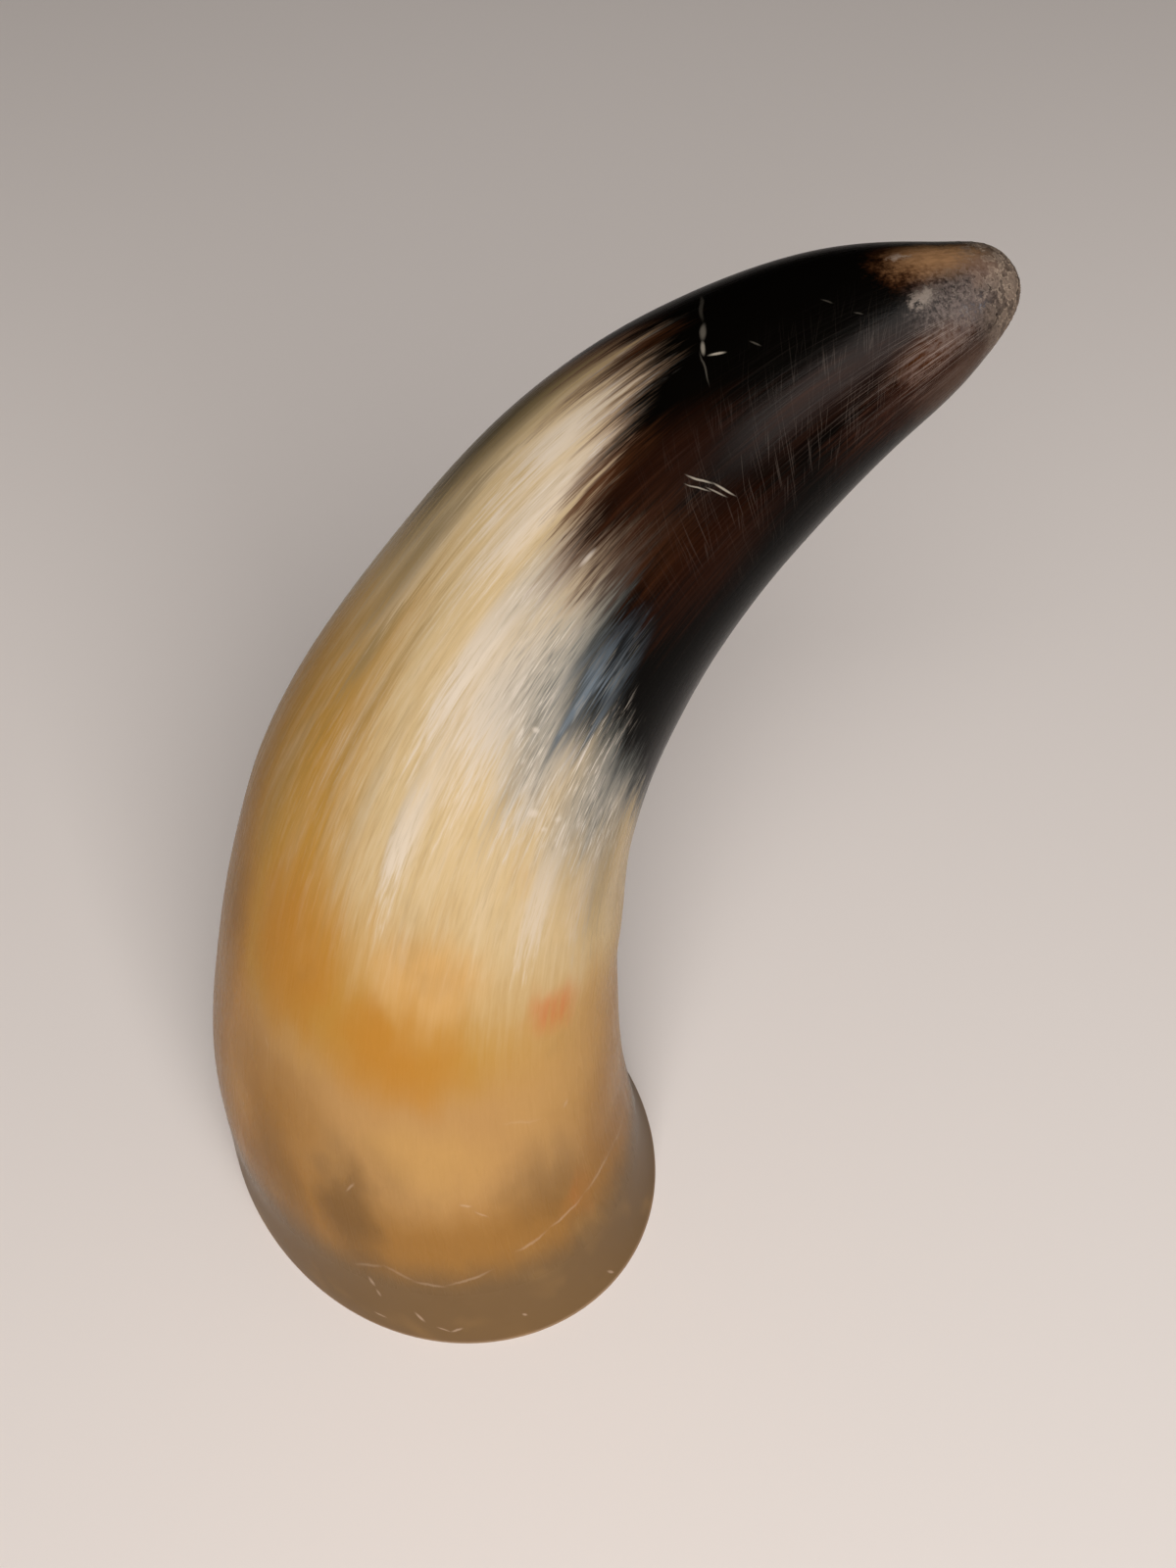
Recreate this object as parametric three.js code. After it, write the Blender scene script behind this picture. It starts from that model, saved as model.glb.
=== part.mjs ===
// A polished buffalo horn standing on its cut root.
//
// The horn is one piece of keratin: a hollow cone that grew round a bone core, solid in its outer
// half, cut off square at the root and worn round at the tip. Millimetres, +Z up. The root is cut
// in the XY plane and the tip bends over towards +X. The origin is the middle of the horn's
// bounding box, on the surface that it stands on.

import * as THREE from "three";
import { LoftGeometry } from "three/addons/geometries/LoftGeometry.js";

// The centre line: it rises square to the cut and leans over faster and faster towards the tip.
const HORN_LENGTH = 203.5; // along the centre line, from the cut to the tip
const TIP_LEAN = THREE.MathUtils.degToRad(95); // from upright, at the tip
const LEAN_POWER = 2.2; // 2 or more keeps the root half nearly straight

// The outside: an oval that tapers and turns on its way up.
const ROOT_HALF_WIDTH = 41.2; // across the bend
const TIP_HALF_WIDTH = 8.2; // the same, where the taper would end if the tip weren't rounded
const TAPER_POWER = 0.87;
const ROOT_FLATNESS = 0.83; // the oval's half depth, in the plane of the bend, over its half width
const TIP_FLATNESS = 1.05;
const ROOT_TURN = THREE.MathUtils.degToRad(-21); // of the oval about the centre line, none at the tip

// The foot: the last few millimetres spread a little, mostly towards the inside of the bend.
const FOOT_FLARE = 0.8; // all round
const FOOT_SPREAD = 1.7; // towards the inside of the bend
const FOOT_REACH = 7; // over which both fade by two thirds

// The tip: worn to a blunt dome.
const DOME_LENGTH = 46;
const DOME_POWER = 3; // 2 would be an ellipse, and more is blunter

// The hollow: where the bone core was, open at the root and pointed above.
const RIM_WALL = 5; // thickness of the horn at the cut
const HOLLOW_DEPTH = 112;
const HOLLOW_POWER = 1.5; // how late the hollow narrows
const HOLLOW_ROUNDING = 0.75; // under 1 rounds its end

// How finely the surfaces are divided.
const AROUND = 40;
const RINGS_BODY = 27;
const RINGS_DOME = 13;
const RINGS_HOLLOW = 15;
const STEPS_OF_CENTRE_LINE = 400;

// The lean from upright at a distance along the centre line.
function lean(along) {
  return TIP_LEAN * (along / HORN_LENGTH) ** LEAN_POWER;
}

// The centre line as points at even steps, each one a short straight step on from the last.
function centreLine() {
  const step = HORN_LENGTH / STEPS_OF_CENTRE_LINE;
  const points = [new THREE.Vector3(0, 0, 0)];
  for (let i = 0; i < STEPS_OF_CENTRE_LINE; i++) {
    const angle = lean((i + 0.5) * step);
    const direction = new THREE.Vector3(Math.sin(angle), 0, Math.cos(angle));
    points.push(points[i].clone().addScaledVector(direction, step));
  }
  return points;
}

const CENTRE_LINE = centreLine();

// The point on the centre line at a distance along it.
function centre(along) {
  const place = (along / HORN_LENGTH) * STEPS_OF_CENTRE_LINE;
  const i = Math.min(Math.floor(place), STEPS_OF_CENTRE_LINE - 1);
  return CENTRE_LINE[i].clone().lerp(CENTRE_LINE[i + 1], place - i);
}

// How much of the foot's spread is left at a distance from the cut.
function footFade(along) {
  return Math.exp(-along / FOOT_REACH);
}

// Half the horn's width across the bend, with the dome of the tip and the foot.
function halfWidth(along) {
  const left = 1 - along / HORN_LENGTH;
  const taper = TIP_HALF_WIDTH + (ROOT_HALF_WIDTH - TIP_HALF_WIDTH) * left ** TAPER_POWER;
  const intoDome = Math.max(0, 1 - (HORN_LENGTH - along) / DOME_LENGTH);
  return taper * Math.sqrt(1 - intoDome ** DOME_POWER) + FOOT_FLARE * footFade(along);
}

// Half the hollow's width across the bend.
function hollowHalfWidth(along) {
  const mouth = ROOT_HALF_WIDTH + FOOT_FLARE - RIM_WALL;
  return mouth * (1 - (along / HOLLOW_DEPTH) ** HOLLOW_POWER) ** HOLLOW_ROUNDING;
}

// An oval ring square to the centre line.
function ring(along, width) {
  const angle = lean(along);
  const inward = new THREE.Vector3(Math.cos(angle), 0, -Math.sin(angle));
  const across = new THREE.Vector3(0, 1, 0);
  const shareOfLength = along / HORN_LENGTH;
  const flatness = THREE.MathUtils.lerp(ROOT_FLATNESS, TIP_FLATNESS, shareOfLength);
  const turn = ROOT_TURN * (1 - shareOfLength);
  const middle = centre(along).addScaledVector(inward, FOOT_SPREAD * footFade(along));
  const points = [];
  for (let i = 0; i < AROUND; i++) {
    const round = (-i / AROUND) * 2 * Math.PI;
    const wide = width * Math.cos(round);
    const deep = width * flatness * Math.sin(round);
    const alongAcross = wide * Math.cos(turn) - deep * Math.sin(turn);
    const alongInward = wide * Math.sin(turn) + deep * Math.cos(turn);
    points.push(middle.clone().addScaledVector(across, alongAcross).addScaledVector(inward, alongInward));
  }
  return points;
}

// The hollow's rings, from its end, a point, down to the mouth. They crowd together at its end.
function hollowRings() {
  const rings = [];
  for (let i = 0; i <= RINGS_HOLLOW; i++) {
    const along = HOLLOW_DEPTH * Math.cos((i / RINGS_HOLLOW) * (Math.PI / 2));
    rings.push(ring(along, hollowHalfWidth(along)));
  }
  return rings;
}

// The outside's rings, from the cut up to the tip, a point. They crowd together where the dome closes.
function outsideRings() {
  const domeStart = HORN_LENGTH - DOME_LENGTH;
  const rings = [];
  for (let i = 0; i < RINGS_BODY; i++) {
    const along = (i / RINGS_BODY) * domeStart;
    rings.push(ring(along, halfWidth(along)));
  }
  for (let i = 0; i <= RINGS_DOME; i++) {
    const along = domeStart + DOME_LENGTH * Math.sin((i / RINGS_DOME) * (Math.PI / 2));
    rings.push(ring(along, halfWidth(along)));
  }
  return rings;
}

// The horn as one loft: down the inside of the hollow, across the cut rim and up the outside.
function horn() {
  const geometry = new LoftGeometry([...hollowRings(), ...outsideRings()]);
  geometry.computeBoundingBox();
  const middle = geometry.boundingBox.getCenter(new THREE.Vector3());
  geometry.translate(-middle.x, -middle.y, -geometry.boundingBox.min.z);
  const keratin = new THREE.MeshStandardMaterial({ color: "#c8924c", roughness: 0.3, metalness: 0 });
  const mesh = new THREE.Mesh(geometry, keratin);
  mesh.name = "horn";
  return mesh;
}

const group = new THREE.Group();
group.add(horn());

export default group;
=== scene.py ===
"""A polished buffalo horn standing on its cut root: its fine surface, its finish and a plain studio."""

import math
from collections import namedtuple
from functools import partial, reduce
from itertools import chain

import bmesh
import bpy
from bpy.props import FloatProperty, FloatVectorProperty, IntProperty, PointerProperty
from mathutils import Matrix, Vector, noise


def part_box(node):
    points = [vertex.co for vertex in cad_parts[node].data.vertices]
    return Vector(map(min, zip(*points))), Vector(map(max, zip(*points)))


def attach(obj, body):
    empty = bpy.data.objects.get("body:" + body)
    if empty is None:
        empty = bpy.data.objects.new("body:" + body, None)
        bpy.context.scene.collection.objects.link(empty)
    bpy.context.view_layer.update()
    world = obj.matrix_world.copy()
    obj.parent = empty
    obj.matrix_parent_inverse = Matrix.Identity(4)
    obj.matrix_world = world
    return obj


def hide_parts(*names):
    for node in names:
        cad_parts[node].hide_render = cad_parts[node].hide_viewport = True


bl_info = {
    "name": "Polished Buffalo Horn",
    "version": (1, 0, 0),
    "blender": (4, 5, 0),
    "location": "3D View > Sidebar > Horn",
    "description": "Builds a polished buffalo horn round its solid, with a plain studio to see it in",
    "category": "Add Mesh",
}

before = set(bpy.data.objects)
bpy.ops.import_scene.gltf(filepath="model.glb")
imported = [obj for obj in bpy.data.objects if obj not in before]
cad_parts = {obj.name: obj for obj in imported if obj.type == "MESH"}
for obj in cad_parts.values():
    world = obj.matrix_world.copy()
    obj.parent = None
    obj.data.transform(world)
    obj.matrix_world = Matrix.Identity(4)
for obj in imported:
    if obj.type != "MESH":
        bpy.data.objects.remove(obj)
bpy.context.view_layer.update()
SOLID_LOW, SOLID_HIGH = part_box("horn")

MM = 0.001  # metres


def linear(hex_colour):
    """An sRGB hex colour as linear red, green and blue."""
    channels = [int(hex_colour[i : i + 2], 16) / 255 for i in (1, 3, 5)]
    return tuple(c / 12.92 if c <= 0.04045 else ((c + 0.055) / 1.055) ** 2.4 for c in channels)


# ---------------------------------------------------------------------------------------------
# The horn's shape. A place on the horn is its distance along the centre line from the cut, and its
# direction round it in degrees: 0 is the inside of the bend, 90 is -Y, 180 the outside of the bend.

LEAN_POWER = 2.2  # how late the centre line leans over
TAPER_POWER = 0.87
ROOT_FLATNESS = 0.83  # the oval's half depth, in the plane of the bend, over its half width
TIP_FLATNESS = 1.05
ROOT_TURN = math.radians(-21)  # of the oval about the centre line, none at the tip
FOOT_FLARE = 0.8 * MM  # spread of the last few millimetres, all round
FOOT_SPREAD = 1.7 * MM  # and towards the inside of the bend
FOOT_REACH = 7 * MM  # over which both fade by two thirds
DOME_LENGTH = 46 * MM  # of the worn tip
DOME_POWER = 3
HOLLOW_POWER = 1.5
HOLLOW_ROUNDING = 0.75
RIM_ROUNDING = 0.5 * MM  # of the cut's outer edge
STEPS_OF_CENTRE_LINE = 400

RINGS_EDGE = 4  # over the rounding of the cut's outer edge
RINGS_BODY = 300
RINGS_DOME = 96
RINGS_HOLLOW = 56
WELD = 0.001 * MM  # vertices nearer to each other than this become one

OUTSIDE, CUT_RIM, HOLLOW_WALL = range(3)  # the mesh's material slots
CUT_HEIGHT = 0.01 * MM  # faces whose middles are lower than this are the cut rim

GRAIN_RADIUS = 30 * MM  # the radius of the straight cylinder on which the grain and markings lie

ALL_ROUND = 9999  # degrees, a reach that takes in every direction

# Swellings and hollows of the real, not quite regular surface: direction round and its reach in
# degrees, distance along and its reach in mm, and height in mm.
SWELLS = (
    (148, 36, 0, 9, 0.6),
    (194, 34, 8, 12, -0.65),
    (65, 30, 12, 10, 0.5),
    (207, 40, 37, 16, 0.75),
    (58, 26, 34, 9, -0.25),
    (55, 30, 58, 13, 0.4),
    (58, 28, 84, 12, 0.9),
    (207, 38, 97, 15, 0.55),
    (206, 34, 124, 15, -0.75),
    (208, 36, 152, 15, 0.85),
    (200, 45, 189, 7, -0.2),
    (190, 60, 198.5, 3.5, 1.0),
    (62, 45, 190, 8, 0.7),
    (0, ALL_ROUND, 204, 3, -0.6),
)
GROWTH_WAVE = 13 * MM  # spacing of the faint swells left by the growth rings
GROWTH_WIDTH = 4 * GROWTH_WAVE  # how far each one reaches round the horn
GROWTH_HEIGHT = 0.10 * MM
FOOT_LEVEL = 2 * MM  # lower down the relief turns level, so that the cut stays flat
TIP_WEAR_START = 194 * MM
TIP_WEAR_RISE = 6 * MM  # over which the wear grows to its full depth
TIP_WEAR_DEPTH = 0.32 * MM
TIP_WEAR_GRAIN = 1.7 * MM
TIP_WEAR_OCTAVES = 3


def lean_at(horn, along):
    """The centre line's lean from upright."""
    return horn.tip_lean * (along / horn.length) ** LEAN_POWER


def centre_line(horn):
    """The centre line as points at even steps, each a short straight step on from the last."""
    step = horn.length / STEPS_OF_CENTRE_LINE
    points = [Vector((0, 0, 0))]
    for i in range(STEPS_OF_CENTRE_LINE):
        lean = lean_at(horn, (i + 0.5) * step)
        points.append(points[-1] + Vector((math.sin(lean), 0, math.cos(lean))) * step)
    return points


def dome_share(horn, along):
    """The share of the taper's width that the dome of the tip leaves, 1 below the dome."""
    into_dome = max(0, 1 - (horn.length - along) / DOME_LENGTH)
    return math.sqrt(max(0, 1 - into_dome**DOME_POWER))


def half_width(horn, along):
    """Half the horn's width across the bend."""
    left = max(0, 1 - along / horn.length)
    taper = horn.tip_half_width + (horn.root_half_width - horn.tip_half_width) * left**TAPER_POWER
    return taper * dome_share(horn, along) + FOOT_FLARE * math.exp(-along / FOOT_REACH)


def hollow_half_width(horn, along):
    """Half the hollow's width across the bend."""
    mouth = horn.root_half_width + FOOT_FLARE - horn.rim_wall
    return mouth * max(0, 1 - (along / horn.hollow_depth) ** HOLLOW_POWER) ** HOLLOW_ROUNDING


def profile(horn):
    """The straight horn's half section as (radius, along), from the hollow's end, down its wall,
    over the cut rim and its rounded outer edge, and up the outside to the tip."""
    points = []
    for i in range(RINGS_HOLLOW + 1):
        along = horn.hollow_depth * math.cos(i / RINGS_HOLLOW * math.pi / 2)
        points.append((hollow_half_width(horn, along), along))
    outer = half_width(horn, 0)
    for i in range(RINGS_EDGE):
        angle = i / RINGS_EDGE * math.pi / 2
        radius = outer - RIM_ROUNDING * (1 - math.sin(angle))
        points.append((radius, RIM_ROUNDING * (1 - math.cos(angle))))
    dome_start = horn.length - DOME_LENGTH
    for i in range(RINGS_BODY):
        along = RIM_ROUNDING + i / RINGS_BODY * (dome_start - RIM_ROUNDING)
        points.append((half_width(horn, along), along))
    for i in range(RINGS_DOME + 1):
        along = dome_start + DOME_LENGTH * math.sin(i / RINGS_DOME * math.pi / 2)
        points.append((half_width(horn, along), along))
    return points


def spun_straight(horn):
    """The straight horn, its profile spun round +Z. The profile ends on the axis at both ends."""
    bm = bmesh.new()
    line = [bm.verts.new((radius, 0, along)) for radius, along in profile(horn)]
    edges = [bm.edges.new(pair) for pair in zip(line, line[1:])]
    bmesh.ops.spin(
        bm, geom=line + edges, cent=(0, 0, 0), axis=(0, 0, 1), angle=2 * math.pi, steps=horn.around,
        use_merge=True,
    )
    bmesh.ops.remove_doubles(bm, verts=bm.verts, dist=WELD)
    bmesh.ops.recalc_face_normals(bm, faces=bm.faces)
    return bm


def name_surfaces(horn, bm):
    """Gives each face of the straight horn its material."""
    for face in bm.faces:
        face.smooth = True
        middle = face.calc_center_median()
        radius = math.hypot(middle.x, middle.y)
        wall_middle = (half_width(horn, middle.z) + hollow_half_width(horn, middle.z)) / 2
        if middle.z < CUT_HEIGHT:
            face.material_index = CUT_RIM
        elif middle.z < horn.hollow_depth and radius < wall_middle:
            face.material_index = HOLLOW_WALL


def keep_grain(horn, bm):
    """Stores each vertex's place on the straight cylinder of the grain, before the horn is bent."""
    grain = bm.verts.layers.float_vector.new("grain")
    for vert in bm.verts:
        radius = math.hypot(vert.co.x, vert.co.y)
        reach = GRAIN_RADIUS * dome_share(horn, vert.co.z)
        out = reach / radius if radius > 0 else 0
        vert[grain] = (vert.co.x * out, vert.co.y * out, vert.co.z)
    return grain


def bend(horn, bm):
    """Flattens, turns and leans the straight horn, and puts its box's middle where the solid's is."""
    line = centre_line(horn)
    for vert in bm.verts:
        along = min(max(vert.co.z, 0), horn.length)
        share = along / horn.length
        flatness = ROOT_FLATNESS + (TIP_FLATNESS - ROOT_FLATNESS) * share
        turn = ROOT_TURN * (1 - share)
        lean = lean_at(horn, along)
        place = share * STEPS_OF_CENTRE_LINE
        i = min(int(place), STEPS_OF_CENTRE_LINE - 1)
        middle = line[i].lerp(line[i + 1], place - i)
        wide = vert.co.y
        deep = vert.co.x * flatness
        across = wide * math.cos(turn) - deep * math.sin(turn)
        inward = wide * math.sin(turn) + deep * math.cos(turn)
        inward += FOOT_SPREAD * math.exp(-along / FOOT_REACH)
        vert.co = middle + Vector((math.cos(lean) * inward, across, -math.sin(lean) * inward))
    low = Vector([min(v.co[i] for v in bm.verts) for i in range(3)])
    high = Vector([max(v.co[i] for v in bm.verts) for i in range(3)])
    shift = (SOLID_LOW + SOLID_HIGH - low - high) / 2
    shift.z = SOLID_LOW.z - low.z
    bmesh.ops.translate(bm, verts=bm.verts, vec=shift)


def round_between(first, second):
    """The angle between two directions round the horn, in degrees, up to 180."""
    return abs((first - second + 180) % 360 - 180)


def relief(round_degrees, along, straight):
    """How far the real surface stands out from the regular one."""
    height = 0
    for round_at, round_reach, along_at, along_reach, swell in SWELLS:
        far = round_between(round_degrees, round_at) / round_reach
        up = (along / MM - along_at) / along_reach
        height += swell * MM * math.exp(-far * far - up * up)
    height += GROWTH_HEIGHT * noise.noise(
        Vector((straight.x / GROWTH_WIDTH, straight.y / GROWTH_WIDTH, along / GROWTH_WAVE))
    )
    worn = min(1, max(0, (along - TIP_WEAR_START) / TIP_WEAR_RISE))
    chips = noise.turbulence(straight / TIP_WEAR_GRAIN, TIP_WEAR_OCTAVES, True)
    return height - TIP_WEAR_DEPTH * worn * chips


def raise_relief(bm, grain):
    """Moves the outside's vertices along their normals by the relief. The cut stays flat."""
    bm.normal_update()
    outside = {v for f in bm.faces if f.material_index == OUTSIDE for v in f.verts}
    for vert in outside:
        straight = vert[grain]
        round_degrees = math.degrees(math.atan2(-straight.y, straight.x)) % 360
        out = vert.normal.copy()
        out.z *= min(1, straight.z / FOOT_LEVEL)
        vert.co += out * relief(round_degrees, straight.z, straight)


# ---------------------------------------------------------------------------------------------
# Materials


def add(tree, kind, settings=(), links=()):
    """Adds a node. Settings go to its properties or its free sockets, and links join its sockets."""
    made = tree.nodes.new(kind)
    for key, value in dict(settings).items():
        if isinstance(key, str) and hasattr(made, key):
            setattr(made, key, value)
        else:
            made.inputs[key].default_value = value
    for key, socket in dict(links).items():
        tree.links.new(socket, made.inputs[key])
    return made


def maths(tree, operation, *inputs):
    """The result of a Math node, whose inputs are sockets or numbers."""
    numbers = {i: found for i, found in enumerate(inputs) if isinstance(found, (int, float))}
    sockets = {i: found for i, found in enumerate(inputs) if i not in numbers}
    return add(tree, "ShaderNodeMath", {"operation": operation, **numbers}, sockets).outputs["Value"]


def new_material(name):
    """An empty node material."""
    made = bpy.data.materials.new(name)
    made.use_nodes = True
    made.node_tree.nodes.clear()
    return made


def bumped(tree, height, strength, distance):
    """The normal that a height gives the surface."""
    return add(
        tree, "ShaderNodeBump", {"Strength": strength, "Distance": distance}, {"Height": height}
    ).outputs["Normal"]


def surface(tree, settings, links=()):
    """The material's one shader, and its output."""
    shader = add(tree, "ShaderNodeBsdfPrincipled", settings, links)
    add(tree, "ShaderNodeOutputMaterial", {}, {"Surface": shader.outputs["BSDF"]})


# The keratin's colours, in sRGB.
AMBER = "#b0782d"
HONEY = "#b98f55"
UMBER_GOLD = "#8f6122"
SMOKE = "#62492c"
RUST = "#bd622a"
PEARL = "#d2c6b8"
OLIVE = "#84714c"
LIGHT_GOLD = "#c4995e"
MOSS = "#5a4c30"
MIST = "#8f8a80"  # the palest veil, far from the dark keratin
SLATE = "#4f514f"
SLATE_DEEP = "#1d1f21"
BLUE = "#636c74"
UMBER = "#6b5444"
RUSSET = "#260f05"
FRINGE = "#4a2a16"
FRINGE_DEEP = "#3a1e0c"
TIP_HONEY = "#8f6b4a"
TIP_ROSE = "#6f5546"
TIP_BROWN = "#806f62"
TIP_CRACK = "#241b15"
TIP_PALE = "#94877c"
SCUFF = "#746660"
CURL_PALE = "#bda892"
HAZE = "#8b8b95"
# The pale of hair scratches: where the sheen falls it is also a painted glint.
SCRATCH_AND_GLINT = "#a08f84"
CREASE_PALE = "#d0b49c"
GOUGE_PALE = "#a99f90"
RIM_BROWN = "#8a7153"
RIM_PALE = "#b79a74"
HOLLOW_TAN = "#8d7350"
HOLLOW_BROWN = "#6a5138"
HOLLOW_PALE = "#a88d64"
# Painted shade, deeper in the hollow.
HOLLOW_SHADE = "#4a3626"

KERATIN_IOR = 1.54
BUFFED_SHINE = 0.03  # specular level of the buffed outside: low, as its gloss is soft
SAW_LINE = 0.9 * MM  # spacing of the saw's marks on the rim
WAVE_PHASE = 20  # radians that the wave texture runs through in a metre, at scale 1

PATCH_CORE = 0.15  # share of a soft patch's reach that is at full strength
SCRATCH_CORE = 0.3  # and of a thin mark's
HAIRLINE_FULL = 1.3  # the noise at which a hairline is at full strength

# The noises that follow the grain: a streak's width and length in mm, its detail, and an offset that
# keeps the noises apart.
GRAIN_NOISES = {
    "fine": (0.32, 3.6, 3.0, 0.0),
    "middling": (0.95, 13.0, 2.0, 31.0),
    "broad": (3.8, 36.0, 2.0, 77.0),
    "cloud": (13.0, 20.0, 3.0, 113.0),
    "drift": (9.0, 15.0, 2.0, 211.0),
}
HOLLOW_RIDGES = (1.2, 18.0, 3.0, 9.0)  # the same for the ridges on the hollow's wall

# The noises of wear, which has no grain: size and detail.
COARSE_WEAR = (2.0 * MM, 4.0)
GRIT = (0.5 * MM, 3.0)

Grain = namedtuple("Grain", ("point", "flat", "arc", "along", *GRAIN_NOISES))
Wear = namedtuple("Wear", "coarse grit worn")


def chart_place(round_degrees, along_mm):
    """A place on the horn as (arc from the -Y side, along), in mm on the grain's cylinder."""
    turned = (round_degrees + 90) % 360 - 180
    return math.radians(turned) * GRAIN_RADIUS / MM, along_mm


def streaks(tree, point, width_mm, length_mm, detail, offset):
    """Noise from about -1 to 1, drawn out along the grain into streaks of that width and length."""
    stretched = add(
        tree, "ShaderNodeMapping",
        {"Location": (offset, offset, offset), "Scale": (1 / width_mm, 1 / width_mm, 1 / length_mm)},
        {"Vector": point},
    )
    made = add(
        tree, "ShaderNodeTexNoise",
        {"Scale": 1.0, "Detail": detail, "Roughness": 0.55, "Distortion": 0.35},
        {"Vector": stretched.outputs["Vector"]},
    )
    return centred(tree, made.outputs["Fac"])


def centred(tree, noise_from_0_to_1):
    """A noise from 0 to 1 spread out to about -1 to 1."""
    return maths(tree, "MULTIPLY_ADD", noise_from_0_to_1, 4.0, -2.0)


def grain_of(tree):
    """Each place's point in mm on the grain's cylinder, the same as a flat chart (arc from the -Y
    side, along, 0), and the noises that follow the grain."""
    stored = add(tree, "ShaderNodeAttribute", {"attribute_name": "grain"})
    point = add(
        tree, "ShaderNodeVectorMath",
        {"operation": "SCALE", "Scale": 1 / MM},
        {"Vector": stored.outputs["Vector"]},
    ).outputs["Vector"]
    turned = add(
        tree, "ShaderNodeVectorMath", {"operation": "MULTIPLY", 1: (-1, -1, 1)}, {0: point}
    )
    parts = add(tree, "ShaderNodeSeparateXYZ", {}, {"Vector": turned.outputs["Vector"]})
    angle = maths(tree, "ARCTAN2", parts.outputs["X"], parts.outputs["Y"])
    arc = both(tree, angle, GRAIN_RADIUS / MM)
    along = parts.outputs["Z"]
    flat = flat_place(tree, arc, along)
    noises = [streaks(tree, point, *sizes) for sizes in GRAIN_NOISES.values()]
    return Grain(point, flat, arc, along, *noises)


def flat_place(tree, arc, along):
    """A place on the flat chart."""
    return add(tree, "ShaderNodeCombineXYZ", {}, {"X": arc, "Y": along}).outputs["Vector"]


def pulled(tree, distance, pulls):
    """A distance pushed to and fro by noises: pulls is (noise, reach in mm) pairs."""
    for pull, reach in pulls:
        distance = maths(tree, "MULTIPLY_ADD", pull, reach, distance)
    return distance


def between(tree, value, low, high, least=0.0, most=1.0):
    """A smooth step from least to most as the value goes from low to high."""
    made = add(
        tree, "ShaderNodeMapRange",
        {
            "interpolation_type": "SMOOTHSTEP",
            "From Min": low, "From Max": high, "To Min": least, "To Max": most,
        },
        {"Value": value},
    )
    return made.outputs["Result"]


def both(tree, *masks):
    """The product of masks, each a socket or a number."""
    return reduce(partial(maths, tree, "MULTIPLY"), masks)


def sum_of(tree, *values):
    """The sum of values, each a socket or a number."""
    return reduce(partial(maths, tree, "ADD"), values)


def most_of(tree, *masks):
    """The largest of masks, each a socket or a number."""
    return reduce(partial(maths, tree, "MAXIMUM"), masks)


def oval(tree, place, middle, turn, half_sizes, core, strength):
    """A mask of a soft-edged oval on the flat chart: 1 to its core, and 0 from its edge outwards."""
    moved = add(
        tree, "ShaderNodeMapping",
        {
            "vector_type": "TEXTURE",
            "Location": (*middle, 0), "Rotation": (0, 0, turn), "Scale": (*half_sizes, 1),
        },
        {"Vector": place},
    )
    inwards = add(
        tree, "ShaderNodeTexGradient",
        {"gradient_type": "SPHERICAL"},
        {"Vector": moved.outputs["Vector"]},
    )
    return between(tree, inwards.outputs["Fac"], 0.0, 1 - core, 0.0, strength)


def patch(tree, place, round_at, along_at, half_round, half_along, strength):
    """A soft patch on the horn: its middle and half sizes are in degrees round and mm along."""
    half_arc = math.radians(half_round) * GRAIN_RADIUS / MM
    middle = chart_place(round_at, along_at)
    return oval(tree, place, middle, 0, (half_arc, half_along), PATCH_CORE, strength)


def scratch(tree, place, start, end, half_width_mm, strength):
    """A thin straight mark from one (round, along) to another."""
    x0, y0 = chart_place(*start)
    x1, y1 = chart_place(*end)
    middle = ((x0 + x1) / 2, (y0 + y1) / 2)
    half_sizes = (math.hypot(x1 - x0, y1 - y0) / 2, half_width_mm)
    turn = math.atan2(y1 - y0, x1 - x0)
    return oval(tree, place, middle, turn, half_sizes, SCRATCH_CORE, strength)


def one_mask(made_by, tree, place, several):
    """The largest of several marks, each joined in as soon as it is made: that keeps the finish
    small enough to render."""
    found = made_by(tree, place, *several[0])
    for one in several[1:]:
        found = most_of(tree, found, made_by(tree, place, *one))
    return found


patches = partial(one_mask, patch)  # one mask of several soft patches
scratches = partial(one_mask, scratch)  # one mask of several thin marks


def hairlines(tree, flat, degrees, length_mm, width_mm, offset, rarity):
    """Many thin straight scratches side by side, at an angle to the direction round the horn."""
    turned = add(
        tree, "ShaderNodeMapping",
        {
            "vector_type": "TEXTURE",
            "Location": (offset, offset, 0), "Rotation": (0, 0, math.radians(degrees)),
            "Scale": (length_mm, width_mm, 1),
        },
        {"Vector": flat},
    )
    made = add(
        tree, "ShaderNodeTexNoise",
        {"noise_dimensions": "2D", "Scale": 1.0, "Detail": 0.0},
        {"Vector": turned.outputs["Vector"]},
    )
    return between(tree, centred(tree, made.outputs["Fac"]), rarity, HAIRLINE_FULL)


def coats(tree, ground, layers):
    """Lays colours over a ground in order: layers is (mask, colour) pairs. The ground and each
    colour are sockets or linear colours."""
    under = ground
    for mask, colour in layers:
        settings = {"data_type": "RGBA"}
        links = {0: mask}
        for socket, paint in ((6, under), (7, colour)):
            if isinstance(paint, tuple):
                settings[socket] = (*paint, 1.0)
            else:
                links[socket] = paint
        under = add(tree, "ShaderNodeMix", settings, links).outputs[2]
    return under


# The dark keratin's lower border: along = middle - swing * cos(round - low side), in mm and degrees.
BORDER_MIDDLE = 135.0
BORDER_SWING = 25.0
BORDER_LOW_SIDE = 12.0

# Where the dark keratin reaches further down than that, or less far: round, half round, mm.
BORDER_STEPS = (
    (112, 18, 9.0), (94, 14, 3.0), (150, 20, 8.0),
    (166, 12, 1.5), (181, 12, -1.5), (197, 5, -4.0),
    (192, 6, 3.0), (232, 30, 6.0), (318, 24, -7.0),
    (352, 14, 6.0), (22, 20, -6.0),
)

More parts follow.
